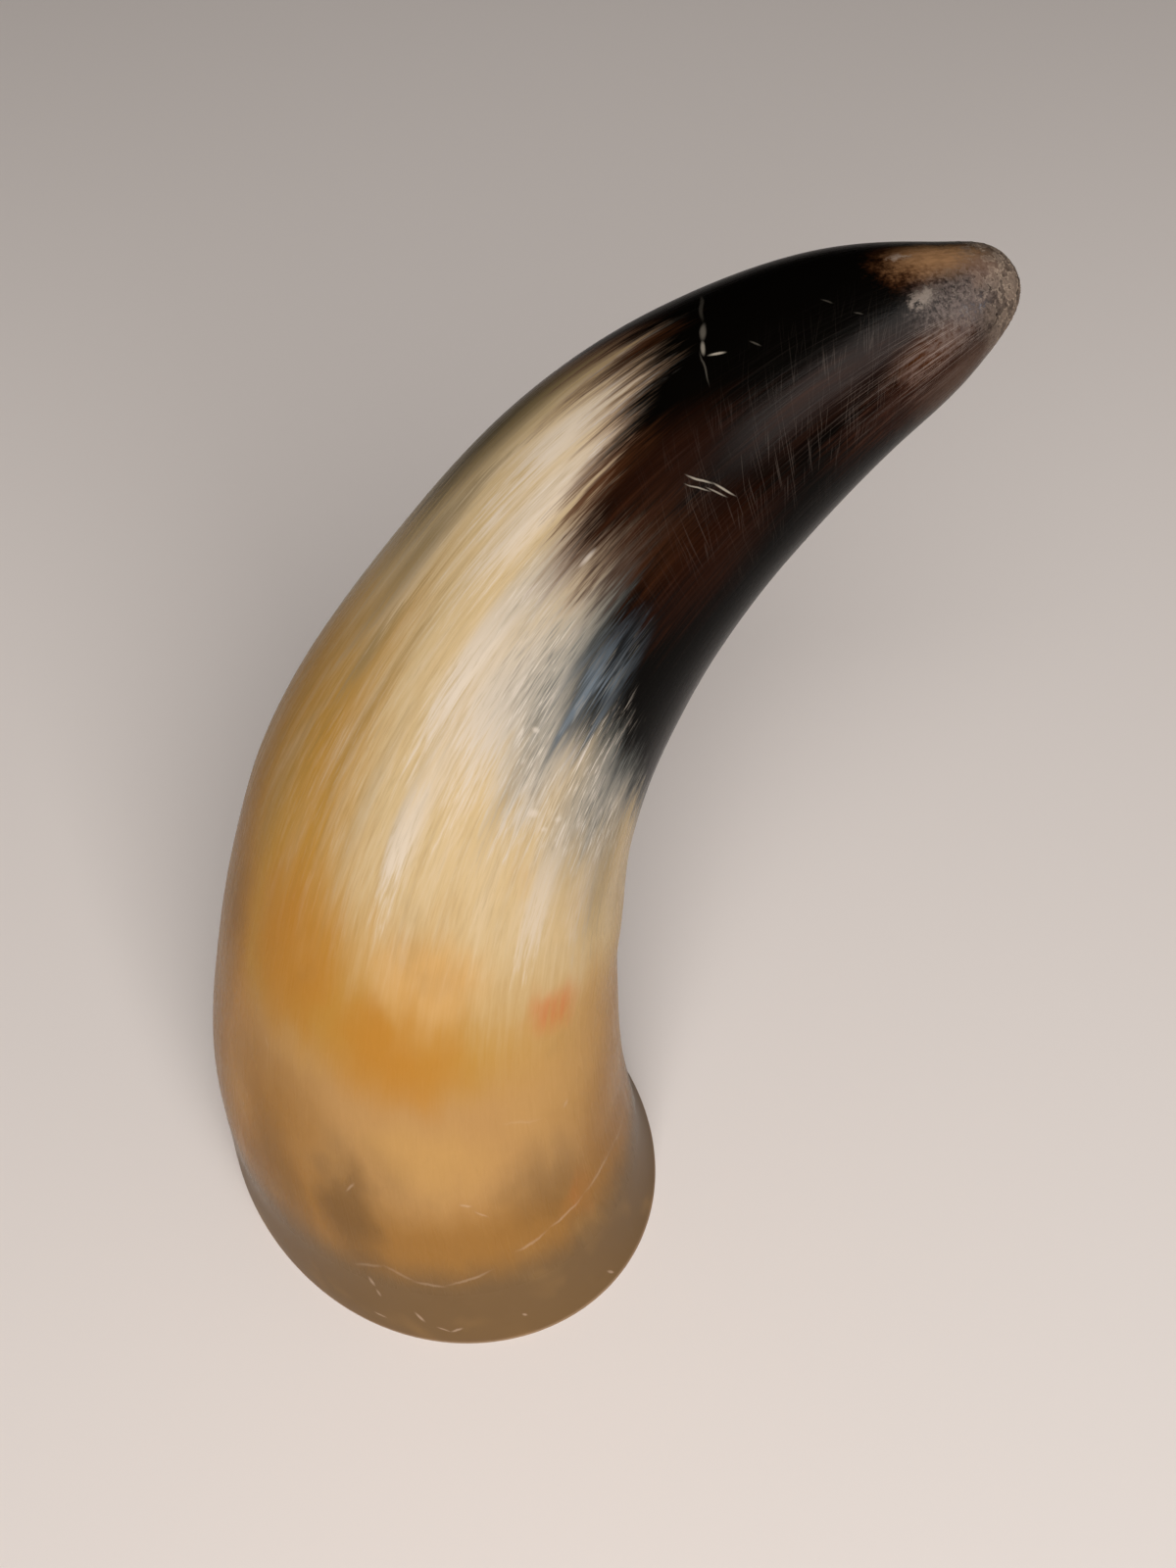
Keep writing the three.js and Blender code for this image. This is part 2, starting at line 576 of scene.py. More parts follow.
# How far along the cream starts, in mm. It changes smoothly from one direction to another, each
# change adding to those before: from direction, to direction, from mm, to mm.
CREAM_START = ((100, 126, 77.0, 88.0), (146, 182, 0.0, 33.0), (215, 262, 0.0, -55.0))
CREAM_REACH = (-13.0, 20.0)  # mm past its start, from its first trace to full cream

# Where it starts further along than that, or less far: round, half round, mm.
CREAM_STEPS = ((22, 34, 9.0), (316, 30, -9.0))

# Where the foot's colours end less far along than elsewhere, or further: round, half round, mm.
FOOT_STEPS = ((236, 28, -6.0), (318, 36, 6.0), (14, 34, -5.0))

# Soft patches as (round, along, half round, half along, strength), in degrees and mm.
AMBER_CORES = (
    (133, 75, 29, 17, 0.85), (166, 82, 26, 20, 0.85), (192, 66, 20, 42, 0.55),
    (178, 40, 24, 24, 0.35), (240, 82, 28, 15, 0.7), (325, 78, 28, 14, 0.6),
)
HONEY_PATCHES = (
    (78, 66, 36, 26, 0.75), (122, 52, 24, 12, 0.75), (163, 66, 12, 7, 0.30),
    (206, 60, 18, 14, 0.3), (330, 56, 24, 14, 0.5),
)
LIGHT_PATCHES = ((128, 90, 26, 10, 0.85), (262, 96, 24, 12, 0.6))
# The one at 204 degrees, near the outside of the bend, is partly the horn's brown and partly painted
# shade that deepens that edge.
BROWN_CLOUDS_AND_SHADE = (
    (170, 48, 28, 26, 0.6), (204, 64, 22, 62, 0.75), (66, 56, 26, 34, 0.6),
    (150, 42, 14, 12, 0.3), (262, 56, 30, 26, 0.5),
)
SMOKY_PATCHES = (
    (148, 36, 14, 24, 0.62), (136, 46, 10, 12, 0.16), (94, 40, 19, 15, 0.40),
    (172, 30, 15, 26, 0.40), (233, 42, 16, 20, 0.5), (302, 40, 18, 18, 0.45),
    (350, 34, 16, 14, 0.4),
)
RED_STAINS = ((85.5, 81, 12, 7.5, 0.50), (82, 31, 9, 9, 0.14), (250, 66, 10, 7, 0.35))
# Those at 138 to 151 degrees, 109 to 141 mm along, are partly pale fibres and partly a painted
# highlight.
PEARL_STREAKS_AND_HIGHLIGHT = (
    (144.5, 109, 5, 14, 0.65), (143, 122, 7, 24, 0.40), (138, 128, 20, 16, 0.70),
    (147, 141, 8, 8, 0.50), (80, 104, 9, 12, 0.30), (117, 121, 16, 10, 0.60),
    (151, 131, 9, 17, 0.75), (167, 147, 12, 16, 0.6), (181, 151, 11, 12, 0.65),
    (98, 106, 8, 17, 0.50), (238, 132, 10, 28, 0.5), (310, 112, 10, 24, 0.45),
    (20, 100, 10, 22, 0.4),
)
OLIVE_STREAKS = (
    (123, 120, 3.4, 13, 0.50), (185, 122, 6, 11, 0.55), (160, 112, 3.0, 22, 0.20),
    (172, 118, 4.0, 20, 0.25), (190, 100, 9, 18, 0.25), (92, 116, 4, 12, 0.35),
    (254, 118, 5, 16, 0.4), (335, 98, 5, 14, 0.4),
)
MOSSY_PATCHES = (
    (214, 148, 24, 28, 1.0), (195, 134, 8, 18, 0.45), (74, 108, 12, 24, 0.4),
    (258, 138, 22, 18, 0.5),
)
FROSTED = (
    (122, 134, 32, 30, 1.0), (88, 122, 28, 26, 1.0), (146, 144, 16, 16, 0.6),
    (20, 118, 60, 26, 0.9), (290, 128, 60, 26, 0.9),
)
BLUE_STREAKS = ((114, 136, 14, 11, 1.0), (106, 133, 7, 8, 0.6), (300, 152, 14, 12, 0.7))
WHITE_STRANDS = (
    (168, 152, 7, 10, 0.7), (180, 156, 11, 8, 0.7), (150, 141, 12, 8, 0.45),
    (100, 128, 14, 9, 0.75), (196, 160, 4, 8, 0.6), (236, 152, 16, 12, 0.7),
)
BROWN_FRINGES = (
    (158, 152, 9, 8, 0.8), (132, 151, 22, 9, 0.35), (192, 162, 6, 5, 0.7),
    (206, 158, 10, 8, 0.6), (345, 122, 20, 8, 0.6),
)
RUSSET_BANDS = (
    (110, 154, 26, 16, 0.7), (145, 157, 18, 14, 0.6), (98, 184, 26, 18, 1.0),
    (128, 176, 20, 22, 0.4), (282, 176, 28, 18, 0.7), (20, 152, 26, 24, 0.6),
)

# Thin marks as ((round, along) from, (round, along) to, half width in mm, strength).
GOUGES = (
    ((118.2, 160.5), (131, 159.3), 0.15, 0.62),
    ((128, 159.6), (139.8, 157.7), 0.16, 0.62),
    ((120.5, 159.8), (131, 158.6), 0.11, 0.45),
    ((127, 158.9), (137.5, 157.2), 0.12, 0.50),
    ((158, 164.4), (176, 165.9), 0.14, 0.10),
    ((171, 165.8), (179, 166.6), 0.30, 0.45),
    ((177, 166.5), (187, 167.5), 0.45, 0.20),
    ((185, 167.3), (209, 169.0), 0.30, 0.06),
    ((167.2, 167.7), (171.2, 166.0), 0.32, 0.75),
    ((161, 170.6), (167, 169.9), 0.15, 0.10),
    ((151, 180.6), (155, 179.6), 0.15, 0.10),
    ((163, 178.6), (169, 177.6), 0.15, 0.08),
)
NICKS = (
    ((118.7, 42.2), (114.6, 40.6), 0.34, 0.34),
    ((115.0, 39.6), (110.8, 36.7), 0.22, 0.28),
    ((145.5, 44.2), (149.2, 40.3), 0.26, 0.30),
    ((81.0, 57.2), (83.4, 55.4), 0.40, 0.36),
    ((89, 55.6), (105, 60.3), 0.34, 0.14),
    ((172.4, 62.0), (173.8, 64.2), 0.17, 0.25),
    ((84.4, 4.6), (83.0, 2.0), 0.34, 0.36),
    ((127, 5.9), (131.4, 3.8), 0.36, 0.38),
    ((130.6, 3.9), (134.4, 5.4), 0.30, 0.38),
    ((110.0, 5.6), (111.0, 6.8), 0.34, 0.36),
)
RIM_CHIPS = (
    ((138.3, 9.3), (136.4, 6.0), 0.36, 0.38),
    ((146.6, 4.6), (150.6, 5.3), 0.40, 0.38),
    ((148.2, 17.2), (147.0, 13.8), 0.36, 0.34),
    ((147.0, 13.6), (146.3, 10.9), 0.30, 0.30),
    ((226, 2.2), (238, 5.2), 0.24, 0.30),
    ((322, 1.6), (330, 4.4), 0.24, 0.30),
)
CREASE = (
    ((38, 27.0), (56, 28.6), 0.5, 0.24),
    ((50, 28.0), (70, 30.0), 0.5, 0.34),
    ((64, 30.0), (84, 28.3), 0.55, 0.40),
    ((80, 28.6), (98, 27.0), 0.5, 0.34),
    ((94, 27.4), (108, 25.2), 0.5, 0.26),
    ((112, 22.4), (129, 18.6), 0.5, 0.26),
    ((126, 18.6), (137, 19.6), 0.5, 0.24),
    ((134, 19.2), (144, 23.0), 0.5, 0.20),
    ((141, 23.0), (153, 18.6), 0.5, 0.18),
    ((200, 22.0), (232, 24.0), 0.45, 0.30),
    ((286, 20.0), (318, 22.4), 0.45, 0.30),
)

# More soft patches: pale specks, where the dark keratin is thinned, and where hair scratches show.
# In the first hair scratch patch, on the band where the sheen falls, their pale is partly a painted
# glint.
PALE_SPECKS = (
    (111.5, 117.5, 2.6, 0.9, 0.5), (102.5, 117.2, 2.0, 0.7, 0.35), (106, 115.5, 1.6, 0.6, 0.35),
    (123.5, 127.6, 1.8, 0.5, 0.5), (143, 145.6, 1.1, 1.6, 0.45),
)
THINNED = (124, 150, 34, 60, 1.0)
SCRATCHES_IN_SHEEN = (116, 178, 58, 42, 1.0)
SCRATCHED_PALE = (110, 186, 30, 15, 1.0)

# And those of the tip.
TIP_SCUFFED = (133, 192, 42, 8.5, 1.0)
TIP_FRINGED = (174, 188, 30, 5.5, 0.9)
TIP_HONEYED = (175, 191.5, 27, 7.5, 1.0)
TIP_ROSY = ((158, 195.5, 22, 4.0, 0.8), (76, 192, 30, 14, 0.4))
TIP_BRUSHED = (114, 186.5, 17, 8.5, 1.0)
TIP_HAZY = (124, 192, 14, 3.0, 0.5)
TIP_BLOTCHES = ((147, 187.2, 8, 1.9, 0.6), (182, 187.5, 5, 1.6, 0.55))

# Hair scratches as (degrees from the direction round the horn, length, width, offset, rarity).
ACROSS = ((11, 16.0, 0.16, 3.0, 0.9), (17, 10.0, 0.14, 41.0, 1.0))
LENGTHWISE = ((88, 16.0, 0.20, 127.0, 0.75), (94, 9.0, 0.16, 163.0, 0.85))

# Fibres in the cream as (noise, how far it swings, strength of its pale side, of its olive side).
CREAM_FIBRES = (
    ("broad", 1.0, 0.18, 0.16), ("middling", 0.9, 0.12, 0.19), ("fine", 0.9, 0.14, 0.18),
)

# Stretches over which something comes in, from a trace to its full strength, in mm along.
CREAM_FIBRES_START = (76.0, 112.0)
FOOT_MATT = (32.0, 8.0)
FIBRES_STAND_OUT = (60.0, 110.0)
WORN_END = (192.5, 200.5)
CUT_EDGE = (1.1, 0.2)
# Over this stretch, painted shade darkens the hollow's wall deeper in.
HOLLOW_SHADE_REACH = (40.0, 100.0)

# And in mm above the dark keratin's border.
MIST_REACH = (-34.0, -10.0)
STRANDS_REACH = (-30.0, -12.0)
VEIL_REACH = (-9.0, 0.0)
DARK_REACH = (-4.0, 3.0)

# The veil turns from slate to umber between these directions.
UMBER_TURN = (124, 142)


def turn_round(tree, grain, first, last, low, high):
    """A smooth step from low to high as the direction round goes from first to last."""
    return between(tree, grain.arc, chart_place(first, 0)[0], chart_place(last, 0)[0], low, high)


def steps_round(tree, grain, steps):
    """A distance in mm that changes round the horn: steps is (round, half round, mm)."""
    half_length = 400.0  # mm, so that a step reaches all along the horn
    return sum_of(
        tree, *(patch(tree, grain.flat, at, 0, half, half_length, step) for at, half, step in steps)
    )


def lower_colours(tree, horn, grain):
    """The ground from the foot to the dark border: grey-brown, brown, tan, gold and cream."""
    stops = (
        (0, horn.foot_colour),
        (16, horn.foot_colour),
        (28, horn.brown_colour),
        (31, horn.brown_colour),
        (46, horn.tan_colour),
        (62, horn.tan_colour),
        (76, horn.gold_colour),
        (horn.length / MM, horn.gold_colour),
    )
    soft_along = pulled(tree, grain.along, ((grain.broad, 1.2), (grain.cloud, 1.6)))
    soft_along = sum_of(tree, soft_along, steps_round(tree, grain, FOOT_STEPS))
    share = both(tree, soft_along, MM / horn.length)
    ramp = add(tree, "ShaderNodeValToRGB", {}, {"Fac": share})
    ramp.color_ramp.interpolation = "EASE"
    while len(ramp.color_ramp.elements) < len(stops):
        ramp.color_ramp.elements.new(0.5)
    for element, (at, colour) in zip(ramp.color_ramp.elements, stops):
        element.position = at / (horn.length / MM)
        element.color = (*colour, 1.0)
    start = sum_of(
        tree,
        *(turn_round(tree, grain, *change) for change in CREAM_START),
        steps_round(tree, grain, CREAM_STEPS),
    )
    ragged_along = pulled(
        tree, grain.along,
        ((grain.fine, 1.5), (grain.middling, 2.6), (grain.broad, 3.0), (grain.cloud, 2.5)),
    )
    cream = between(tree, maths(tree, "SUBTRACT", ragged_along, start), *CREAM_REACH)
    return coats(tree, ramp.outputs["Color"], ((cream, tuple(horn.cream_colour)),))


def above_border(tree, grain, pulls):
    """How far a place is above the dark keratin's ragged border, in mm."""
    from_low_side = math.radians(90 - BORDER_LOW_SIDE)
    angle = maths(tree, "MULTIPLY_ADD", grain.arc, MM / GRAIN_RADIUS, from_low_side)
    wave = maths(tree, "COSINE", angle)
    border = maths(tree, "MULTIPLY_ADD", wave, -BORDER_SWING, BORDER_MIDDLE)
    ragged_along = pulled(tree, grain.along, pulls)
    above = maths(tree, "SUBTRACT", ragged_along, border)
    return sum_of(tree, above, steps_round(tree, grain, BORDER_STEPS))


def body_layers(tree, grain):
    """The markings below the dark border: clouds of amber, honey and smoke, and lengthwise streaks.
    Some pale streaks are partly a painted highlight, and one brown cloud is partly painted shade.
    """
    cloudy = flat_place(
        tree,
        pulled(tree, grain.arc, ((grain.cloud, 2.4), (grain.drift, 2.0))),
        pulled(tree, grain.along, ((grain.drift, 3.0), (grain.broad, 1.8))),
    )
    strands = flat_place(
        tree,
        pulled(tree, grain.arc, ((grain.broad, 1.0),)),
        pulled(tree, grain.along, ((grain.fine, 5.0), (grain.middling, 6.0))),
    )
    in_cream = between(tree, grain.along, *CREAM_FIBRES_START)
    yield patches(tree, cloudy, AMBER_CORES), linear(AMBER)
    # Brown clouds; the one near the outside of the bend is partly painted shade.
    yield patches(tree, cloudy, BROWN_CLOUDS_AND_SHADE), linear(UMBER_GOLD)
    yield patches(tree, cloudy, HONEY_PATCHES), linear(HONEY)
    yield patches(tree, cloudy, LIGHT_PATCHES), linear(LIGHT_GOLD)
    yield both(tree, between(tree, grain.drift, 0.1, 1.1), 0.22), linear(HONEY)
    yield both(tree, between(tree, grain.cloud, 0.1, 1.2), 0.14), linear(SMOKE)
    yield patches(tree, cloudy, SMOKY_PATCHES), linear(SMOKE)
    blotchy = between(tree, grain.middling, -1.0, 0.8, 0.55, 1.15)
    yield both(tree, patches(tree, cloudy, RED_STAINS), blotchy), linear(RUST)
    # Pale streaks, some of them partly a painted highlight.
    yield patches(tree, strands, PEARL_STREAKS_AND_HIGHLIGHT), linear(PEARL)
    for name, swing, pale_strength, olive_strength in CREAM_FIBRES:
        fibres = getattr(grain, name)
        yield both(tree, between(tree, fibres, 0.0, swing), in_cream, pale_strength), linear(PEARL)
        yield both(tree, between(tree, fibres, 0.0, -swing), in_cream, olive_strength), linear(OLIVE)
    yield patches(tree, strands, OLIVE_STREAKS), linear(OLIVE)
    yield patches(tree, strands, MOSSY_PATCHES), linear(MOSS)


def dark_layers(tree, horn, grain):
    """The dark keratin, and how it shows through the pale: a frosted border, then a veil, slate or
    umber, then near black with russet bands, brown fringes, blue streaks and white strands."""
    veil_above = above_border(
        tree, grain, ((grain.fine, 3.4), (grain.middling, 2.2), (grain.broad, 2.5))
    )
    dark_above = above_border(
        tree, grain, ((grain.fine, 3.0), (grain.middling, 1.6), (grain.broad, 1.4))
    )
    # Where it is thinned, the dark keratin comes in over twice the distance.
    thinning = maths(tree, "MULTIPLY_ADD", patch(tree, grain.flat, *THINNED), -0.5, 1.0)
    dark_above = both(tree, dark_above, thinning)
    split = flat_place(
        tree,
        pulled(tree, grain.arc, ((grain.broad, 1.0),)),
        pulled(tree, grain.along, ((grain.fine, 3.0), (grain.middling, 4.0))),
    )
    frosted = patches(tree, split, FROSTED)
    light_strand = between(tree, grain.fine, 0.0, 0.8)
    dark_strand = between(tree, grain.fine, 0.0, -0.8)
    umber_side = turn_round(tree, grain, *UMBER_TURN, 0.0, 1.0)
    veil_colour = coats(tree, linear(SLATE), ((umber_side, linear(UMBER)),))
    near = between(tree, veil_above, *STRANDS_REACH)
    yield both(tree, between(tree, veil_above, *MIST_REACH), frosted, 0.95), linear(MIST)
    yield both(tree, near, dark_strand, frosted, 0.65), linear(SLATE)
    yield both(tree, near, light_strand, frosted, 0.75), linear(PEARL)
    yield between(tree, veil_above, *VEIL_REACH, 0.0, 0.92), veil_colour
    bands = both(
        tree, patches(tree, split, RUSSET_BANDS), between(tree, grain.middling, -1.2, 0.6, 0.6, 1.0)
    )
    streaky = both(tree, between(tree, grain.middling, 0.2, 1.2), 0.34)
    dark = coats(
        tree, tuple(horn.dark_colour),
        ((bands, linear(RUSSET)), (both(tree, streaky, bands), linear(FRINGE))),
    )
    yield between(tree, dark_above, *DARK_REACH), dark
    fringes = both(
        tree, patches(tree, split, BROWN_FRINGES), between(tree, grain.middling, -0.9, 0.7, 0.2, 0.9)
    )
    yield fringes, linear(FRINGE)
    blue = patches(tree, split, BLUE_STREAKS)
    yield both(tree, blue, 0.6), linear(SLATE_DEEP)
    yield both(tree, blue, between(tree, grain.middling, -0.4, 0.7), 0.9), linear(BLUE)
    yield both(tree, blue, light_strand, 0.4), linear(MIST)
    yield both(tree, patches(tree, split, WHITE_STRANDS), light_strand), linear(PEARL)


def wear_of(tree, grain):
    """The noises of the worn tip, and how worn each place is. Wear has no grain, so they lie in the
    horn's own space."""
    place = add(tree, "ShaderNodeTexCoord").outputs["Object"]
    noises = [
        add(
            tree, "ShaderNodeTexNoise",
            {"Scale": 1 / size, "Detail": detail, "Roughness": 0.6},
            {"Vector": place},
        )
        for size, detail in (COARSE_WEAR, GRIT)
    ]
    coarse, grit = [centred(tree, made.outputs["Fac"]) for made in noises]
    worn = between(tree, pulled(tree, grain.along, ((coarse, 1.8), (grit, 0.8))), *WORN_END)
    return Wear(coarse, grit, worn)


def tip_layers(tree, grain, wear):
    """The tip: honey-coloured, rosy, brushed, scuffed and hazy patches with pale blotches, and the
    worn end, matted and cracked, with pale curls of loose keratin."""
    coarse, grit, worn = wear
    rough_place = flat_place(
        tree,
        pulled(tree, grain.arc, ((coarse, 1.6), (grit, 0.7))),
        pulled(tree, grain.along, ((coarse, 1.3), (grit, 0.6), (grain.fine, 0.8))),
    )
    curls = between(tree, maths(tree, "ABSOLUTE", coarse), 0.11, 0.0)
    pits = between(tree, grit, 0.1, -0.9)
    scuffed = patch(tree, rough_place, *TIP_SCUFFED)
    yield patch(tree, rough_place, *TIP_FRINGED), linear(FRINGE_DEEP)
    honeyed = patch(tree, rough_place, *TIP_HONEYED)
    yield both(tree, honeyed, between(tree, grain.middling, -1.0, 0.8, 0.75, 1.0)), linear(TIP_HONEY)
    for rosy in TIP_ROSY:
        yield patch(tree, rough_place, *rosy), linear(TIP_ROSE)
    brushed = patch(tree, rough_place, *TIP_BRUSHED)
    yield both(tree, brushed, 0.7), linear(FRINGE)
    yield both(tree, brushed, between(tree, grain.middling, -0.5, 1.0, 0.0, 0.55)), linear(SCUFF)
    yield both(tree, scuffed, between(tree, grit, -0.9, 0.7, 0.1, 0.75)), linear(SCUFF)
    yield both(tree, patch(tree, rough_place, *TIP_HAZY), pits), linear(HAZE)
    for blotch in TIP_BLOTCHES:
        yield patch(tree, rough_place, *blotch), linear(TIP_PALE)
    yield both(tree, worn, between(tree, coarse, -1.0, 0.8, 0.5, 1.0)), linear(TIP_BROWN)
    yield both(tree, worn, pits, 0.8), linear(TIP_CRACK)
    yield both(tree, worn, between(tree, coarse, -0.1, -0.8), 0.6), linear(TIP_CRACK)
    yield both(tree, worn, curls, 0.6), linear(CURL_PALE)
    yield both(tree, scuffed, curls, 0.3), linear(TIP_PALE)


def handling_layers(tree, grain):
    """What handling has left: hair scratches on the dark half, pale as a painted glint where the
    sheen falls, the crease round the foot, nicks, gouges, pale specks and a paler edge at the cut."""
    broken = pulled(tree, grain.along, ((grain.drift, 0.5), (grain.cloud, 0.7), (grain.middling, 0.15)))
    uneven = flat_place(tree, grain.arc, broken)
    waved = flat_place(tree, grain.arc, pulled(tree, grain.along, ((grain.drift, 0.25),)))
    in_sheen = patch(tree, grain.flat, *SCRATCHES_IN_SHEEN)
    across = most_of(tree, *(hairlines(tree, grain.flat, *sort) for sort in ACROSS))
    lengthwise = most_of(tree, *(hairlines(tree, grain.flat, *sort) for sort in LENGTHWISE))
    pale = patch(tree, grain.flat, *SCRATCHED_PALE)
    faint = between(tree, grain.drift, -0.8, 0.8, 0.3, 1.0)
    # Painted glints: the hair scratches are real, but where the sheen falls their pale stands in for the
    # light they catch.
    yield both(tree, across, in_sheen, faint, 0.085), linear(SCRATCH_AND_GLINT)
    yield both(tree, lengthwise, in_sheen, 0.03), linear(SCRATCH_AND_GLINT)
    yield both(tree, lengthwise, pale, 0.5), linear(SCRATCH_AND_GLINT)
    crease = both(tree, scratches(tree, uneven, CREASE), between(tree, grain.drift, -1.2, 0.6, 0.4, 1.0))
    yield crease, linear(CREASE_PALE)
    yield scratches(tree, uneven, NICKS + RIM_CHIPS), linear(CREASE_PALE)
    yield scratches(tree, waved, GOUGES), linear(GOUGE_PALE)
    yield patches(tree, grain.flat, PALE_SPECKS), linear(PEARL)
    yield both(tree, between(tree, grain.along, *CUT_EDGE), 0.35), linear(CREASE_PALE)


def polished_keratin(horn):
    """Buffalo horn, sanded and buffed. Layers of keratin fibre run lengthwise, so the eye sees soft
    streaks along the horn, ragged borders between its colours, and a satin gloss over the whole."""
    made = new_material("buffed_buffalo_horn")
    tree = made.node_tree
    grain = grain_of(tree)
    wear = wear_of(tree, grain)
    layers = chain(
        body_layers(tree, grain),
        dark_layers(tree, horn, grain),
        tip_layers(tree, grain, wear),
        handling_layers(tree, grain),
    )
    colour = coats(tree, lower_colours(tree, horn, grain), layers)
    roughness = most_of(
        tree,
        between(tree, grain.middling, -0.8, 0.8, 0.24, 0.30),
        both(tree, wear.worn, 0.7),
        between(tree, grain.along, *FOOT_MATT, 0.0, 0.36),
    )
    fibre_height = pulled(tree, grain.middling, ((grain.fine, 0.35),))
    smoothed = both(tree, fibre_height, between(tree, grain.along, *FIBRES_STAND_OUT, 0.3, 1.0))
    worn_height = pulled(tree, smoothed, ((both(tree, wear.worn, wear.grit), 4.0),))
    normal = bumped(tree, worn_height, 0.25, 0.02 * MM)
    surface(
        tree,
        {"IOR": KERATIN_IOR, "Specular IOR Level": BUFFED_SHINE},
        {"Base Color": colour, "Roughness": roughness, "Normal": normal},
    )
    return made


def sawn_keratin():
    """The cut rim, sawn and sanded flat: matt, a little paler than the outside, with fine saw lines."""
    made = new_material("sawn_horn_rim")
    tree = made.node_tree
    place = add(tree, "ShaderNodeTexCoord")
    lines = add(
        tree, "ShaderNodeTexWave",
        {
            "Scale": 2 * math.pi / (WAVE_PHASE * SAW_LINE),
            "Distortion": 3.0, "Detail": 2.0, "Detail Scale": 0.5,
        },
        {"Vector": place.outputs["Object"]},
    )
    colour = coats(
        tree, linear(RIM_BROWN), ((both(tree, lines.outputs["Fac"], 0.5), linear(RIM_PALE)),)
    )
    normal = bumped(tree, lines.outputs["Fac"], 0.4, 0.1 * MM)
    surface(tree, {"IOR": KERATIN_IOR, "Roughness": 0.65}, {"Base Color": colour, "Normal": normal})
    return made


def raw_keratin():
    """The hollow's wall, never polished: matt, brown, with the fine ridges that the bone core left,
    and painted shade that darkens it deeper in.
    """
    made = new_material("raw_horn_hollow")
    tree = made.node_tree
    grain = grain_of(tree)
    ridges = streaks(tree, grain.point, *HOLLOW_RIDGES)
    colour = coats(
        tree, linear(HOLLOW_TAN),
        (
            (between(tree, grain.cloud, -0.4, 0.8, 0.0, 0.6), linear(HOLLOW_BROWN)),
            (between(tree, ridges, -0.6, 0.8, 0.0, 0.5), linear(HOLLOW_PALE)),
            # Painted shade: darker deeper into the hollow.
            (between(tree, grain.along, *HOLLOW_SHADE_REACH, 0.0, 0.7), linear(HOLLOW_SHADE)),
        ),
    )
    normal = bumped(tree, ridges, 0.6, 0.15 * MM)
    surface(tree, {"IOR": KERATIN_IOR, "Roughness": 0.7}, {"Base Color": colour, "Normal": normal})
    return made


def matt_paper(studio):
    """Pale backdrop paper: matt and even, so that the floor shows only the light and shadow."""
    made = new_material("matt_pale_paper")
    surface(made.node_tree, {"Base Color": (*studio.floor_colour, 1.0), "Roughness": 0.8})
    return made


# ---------------------------------------------------------------------------------------------
# The studio: where lights stand is a compass direction from +Y towards +X and a height above the
# horizon, both in degrees, and a distance from the horn's middle.

CAMERA_PLACE = Vector((-55.4, -146.1, 288.9)) * MM
CAMERA_COMPASS = 22.1  # direction looked in, in degrees from +Y towards +X
CAMERA_PITCH = 51.93  # degrees below the horizon
FLOOR_SIZE = 6.0  # metres

# The soft lights: compass direction, height, distance, width and depth, the last three in metres.
KEY_PLACE = (196, 44, 0.95, 0.75, 0.7)
KEY_COLOUR = (1.0, 0.975, 0.955)
SHEEN_PLACE = (143, 40, 0.9, 1.0, 0.48)
SHEEN_COLOUR = (1.0, 0.94, 0.9)
ROOM_COLOUR = "#fff8f2"


def sky_place(compass, height, distance):
    """A point at a compass direction and a height in degrees, seen from the horn's middle."""
    turn = math.radians(compass)
    up = math.radians(height)
    out = Vector((math.sin(turn) * math.cos(up), math.cos(turn) * math.cos(up), math.sin(up)))
    return (SOLID_LOW + SOLID_HIGH) / 2 + out * distance


def add_card(name, compass, height, distance, width, depth, radiance, colour):
    """A flat soft light that faces the horn. Its radiance sets its power."""
    data = bpy.data.lights.new(name, "AREA")
    data.shape = "RECTANGLE"
    data.size = width
    data.size_y = depth
    data.energy = radiance * math.pi * width * depth
    data.color = colour
    card = bpy.data.objects.new(name, data)
    card.location = sky_place(compass, height, distance)
    inward = (SOLID_LOW + SOLID_HIGH) / 2 - card.location
    card.rotation_euler = inward.to_track_quat("-Z", "Y").to_euler()
    bpy.context.scene.collection.objects.link(card)
    return card


def add_floor(studio):
    """The pale floor that the horn stands on."""
    bm = bmesh.new()
    bmesh.ops.create_grid(bm, x_segments=1, y_segments=1, size=FLOOR_SIZE / 2)
    bmesh.ops.translate(bm, verts=bm.verts, vec=(0, 0, SOLID_LOW.z))
    mesh = bpy.data.meshes.new("floor")
    bm.to_mesh(mesh)
    bm.free()
    mesh.materials.append(matt_paper(studio))
    floor = bpy.data.objects.new("floor", mesh)
    bpy.context.scene.collection.objects.link(floor)


def add_camera(studio):
    """The camera, above and in front of the horn, looking down on it."""
    data = bpy.data.cameras.new("camera")
    data.lens = studio.lens
    camera = bpy.data.objects.new("camera", data)
    camera.location = CAMERA_PLACE
    camera.rotation_euler = (math.radians(90 - CAMERA_PITCH), 0, math.radians(-CAMERA_COMPASS))
    bpy.context.scene.collection.objects.link(camera)
    bpy.context.scene.camera = camera


# ---------------------------------------------------------------------------------------------
# Add-on


